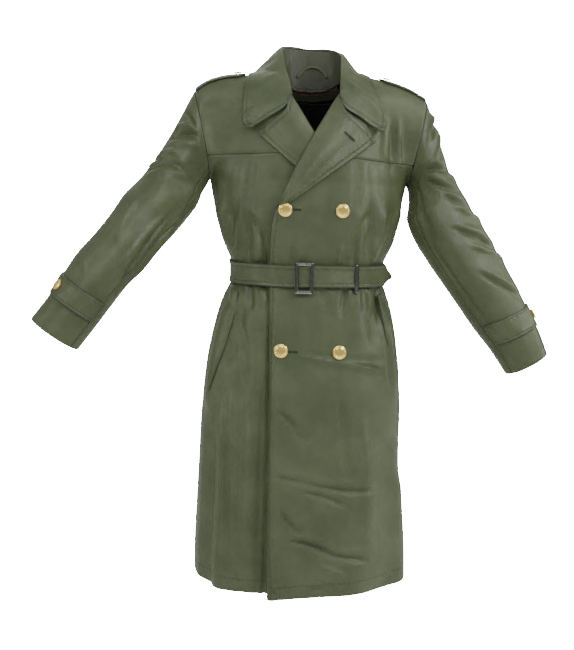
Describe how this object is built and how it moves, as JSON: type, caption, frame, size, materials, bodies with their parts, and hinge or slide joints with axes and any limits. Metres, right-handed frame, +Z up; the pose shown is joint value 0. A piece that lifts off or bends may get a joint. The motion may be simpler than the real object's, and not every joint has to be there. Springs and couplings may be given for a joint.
{
  "type": "trench coat",
  "caption": "Double-breasted belted trench coat, knee length, with notched lapels, epaulettes, cuff straps and gilt buttons, filled out as worn.",
  "frame": {"origin": "on the coat's centre plane at the level of the neck points of the shoulder seams, in the neck hollow, where the wearer's shoulders hold the coat", "axes": "+Z up, -Y the front of the coat, +X the wearer's left, the side of the over front"},
  "size_m": [1.0232, 0.3619, 1.1258],
  "materials": {
    "coat_cloth": "fine twill with a slight sheen",
    "lining_satin": "black satin",
    "neck_tape_cloth": "plain woven tape",
    "button_gilt": "polished gilt",
    "dark_steel": "dark polished"
  },
  "bodies": {
    "root": {"back": "coat_cloth", "front_right": "coat_cloth", "front_left": "coat_cloth", "yoke_right": "coat_cloth", "yoke_left": "coat_cloth", "lapel_right": "coat_cloth", "lapel_left": "coat_cloth", "sleeve_upper_right": "coat_cloth", "sleeve_upper_left": "coat_cloth", "sleeve_under_right": "coat_cloth", "sleeve_under_left": "coat_cloth", "sleeve_lining_right": "lining_satin", "sleeve_lining_left": "lining_satin", "strap_right": "coat_cloth", "strap_left": "coat_cloth", "strap_button_right": "button_gilt", "strap_button_left": "button_gilt", "epaulette_right": "coat_cloth", "epaulette_left": "coat_cloth", "epaulette_button_right": "button_gilt", "epaulette_button_left": "button_gilt", "welt_right": "coat_cloth", "welt_left": "coat_cloth", "back_lining": "lining_satin", "neck_tape": "neck_tape_cloth", "neck_facing": "coat_cloth", "collar_stand": "coat_cloth", "collar_leaf": "coat_cloth", "hanging_loop": "coat_cloth", "belt": "coat_cloth", "buckle": "dark_steel", "keeper": "dark_steel", "button_upper_right": "button_gilt", "button_upper_left": "button_gilt", "button_lower_right": "button_gilt", "button_lower_left": "button_gilt"}
  },
  "joints": []
}
